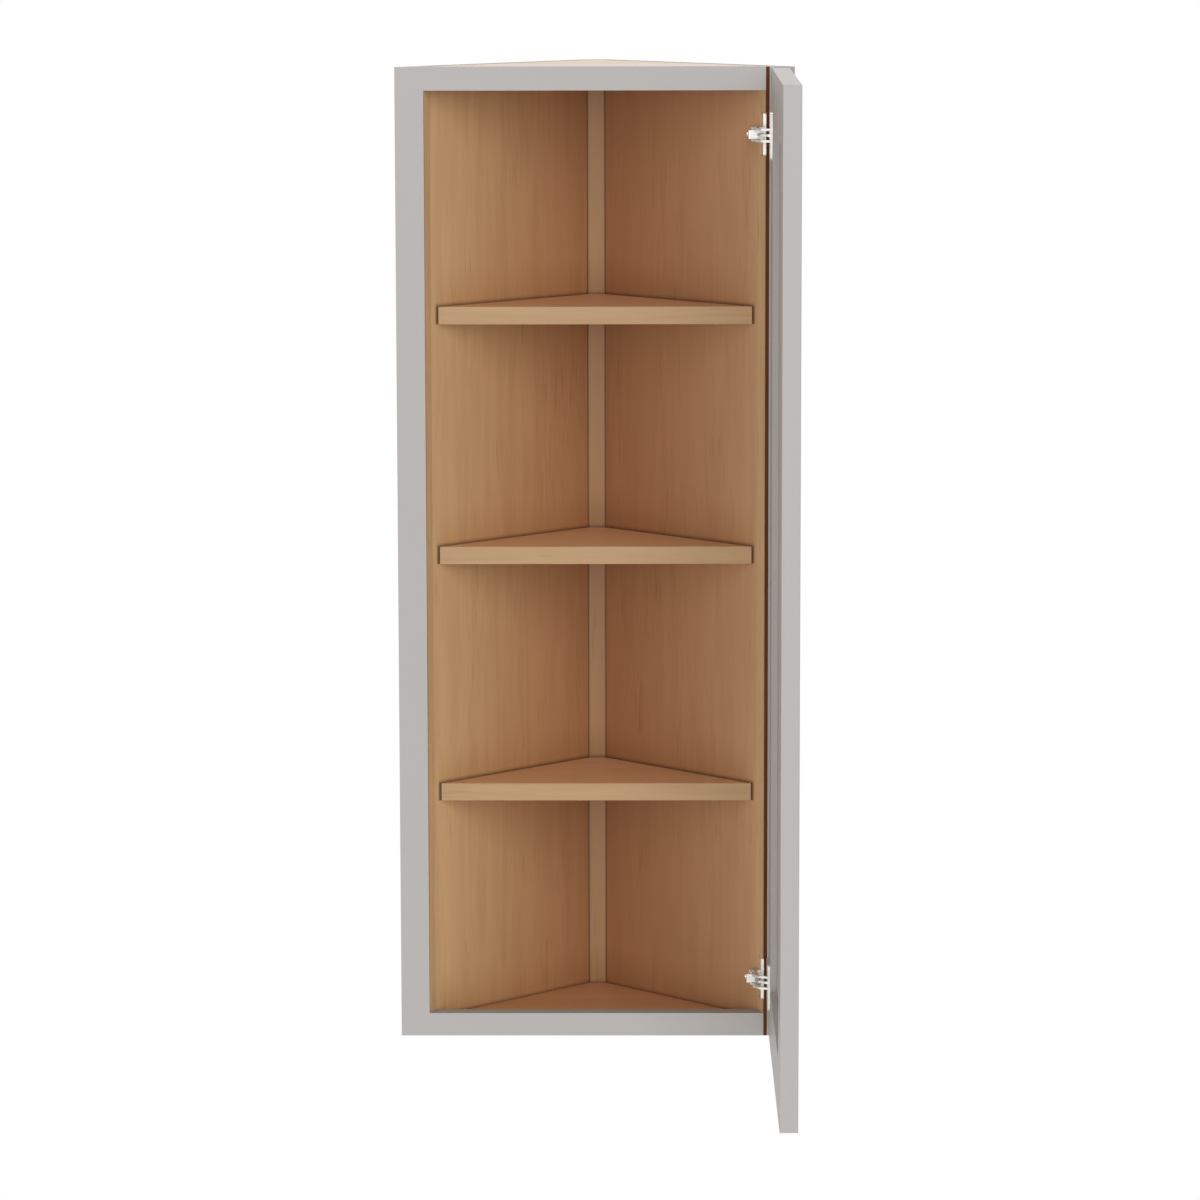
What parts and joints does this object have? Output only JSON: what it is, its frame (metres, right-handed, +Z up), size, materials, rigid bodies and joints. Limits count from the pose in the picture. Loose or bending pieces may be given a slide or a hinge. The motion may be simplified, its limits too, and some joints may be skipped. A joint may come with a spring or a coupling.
{
  "type": "wall end cabinet",
  "caption": "Tall triangular kitchen wall cabinet that ends a run of units, with a framed flat-panel door across the corner on concealed hinges and loose shelves inside.",
  "frame": {"origin": "bottom edge of the face that stands against the wall, 152.4 mm along it from the neighbouring unit's face, which is halfway along the cabinet", "axes": "+Z up, +Y into the wall, +X along the wall away from the neighbouring unit; the face frame crosses the corner at 45 degrees and faces +X and -Y"},
  "size_m": [0.6069, 0.3241, 1.0668],
  "materials": {
    "painted_greige": "satin paint over wood",
    "maple_interior": "satin maple laminate",
    "bare_wood": "unfinished beech",
    "clear_plastic": "clear gloss",
    "nickel": "bright nickel plate",
    "zinc": "zinc plate"
  },
  "bodies": {
    "cabinet": {"face_frame_left_stile": "painted_greige", "face_frame_right_stile": "painted_greige", "face_frame_top_rail": "painted_greige", "face_frame_bottom_rail": "painted_greige", "face_frame_dowels": "bare_wood", "side_panel": "maple_interior", "back_panel": "maple_interior", "corner_panel": "maple_interior", "top_panel": "maple_interior", "bottom_panel": "maple_interior", "upper_shelf": "maple_interior", "middle_shelf": "maple_interior", "lower_shelf": "maple_interior", "shelf_pins": "clear_plastic", "carcase_screws": "zinc", "upper_hinge_plate": "nickel", "upper_hinge_arm": "nickel", "upper_hinge_arm_pins": "nickel", "upper_hinge_adjusting_screw": "nickel", "upper_hinge_plate_screws": "nickel", "lower_hinge_plate": "nickel", "lower_hinge_arm": "nickel", "lower_hinge_arm_pins": "nickel", "lower_hinge_adjusting_screw": "nickel", "lower_hinge_plate_screws": "nickel"},
    "outer_links": {"upper_hinge_outer_links": "nickel", "lower_hinge_outer_links": "nickel"},
    "inner_links": {"upper_hinge_inner_link": "nickel", "lower_hinge_inner_link": "nickel"},
    "door": {"door_hinge_stile": "painted_greige", "door_latch_stile": "painted_greige", "door_top_rail": "painted_greige", "door_bottom_rail": "painted_greige", "door_panel": "painted_greige", "upper_hinge_cup": "nickel", "upper_hinge_cup_pins": "nickel", "upper_hinge_cup_screws": "nickel", "lower_hinge_cup": "nickel", "lower_hinge_cup_pins": "nickel", "lower_hinge_cup_screws": "nickel"}
  },
  "joints": [
    {"name": "outer_link_turn", "type": "hinge", "parent": "cabinet", "child": "outer_links", "pos_m": [0.11617, -0.02319, 0], "axis": [0, 0, 1], "range_deg": [-3.4, 25]},
    {"name": "door_swing", "type": "hinge", "parent": "outer_links", "child": "door", "pos_m": [0.14865, -0.02751, 0], "axis": [0, 0, 1], "range_deg": [-114.9, 15.3]},
    {"name": "inner_link_turn", "type": "hinge", "parent": "cabinet", "child": "inner_links", "pos_m": [0.12164, -0.02086, 0], "axis": [0, 0, 1], "range_deg": [-2.5, 18.5]}
  ],
  "couplings": [
    {"joint": "outer_link_turn", "follows": "door_swing", "ratio": -0.21663},
    {"joint": "inner_link_turn", "follows": "door_swing", "ratio": -0.16}
  ]
}
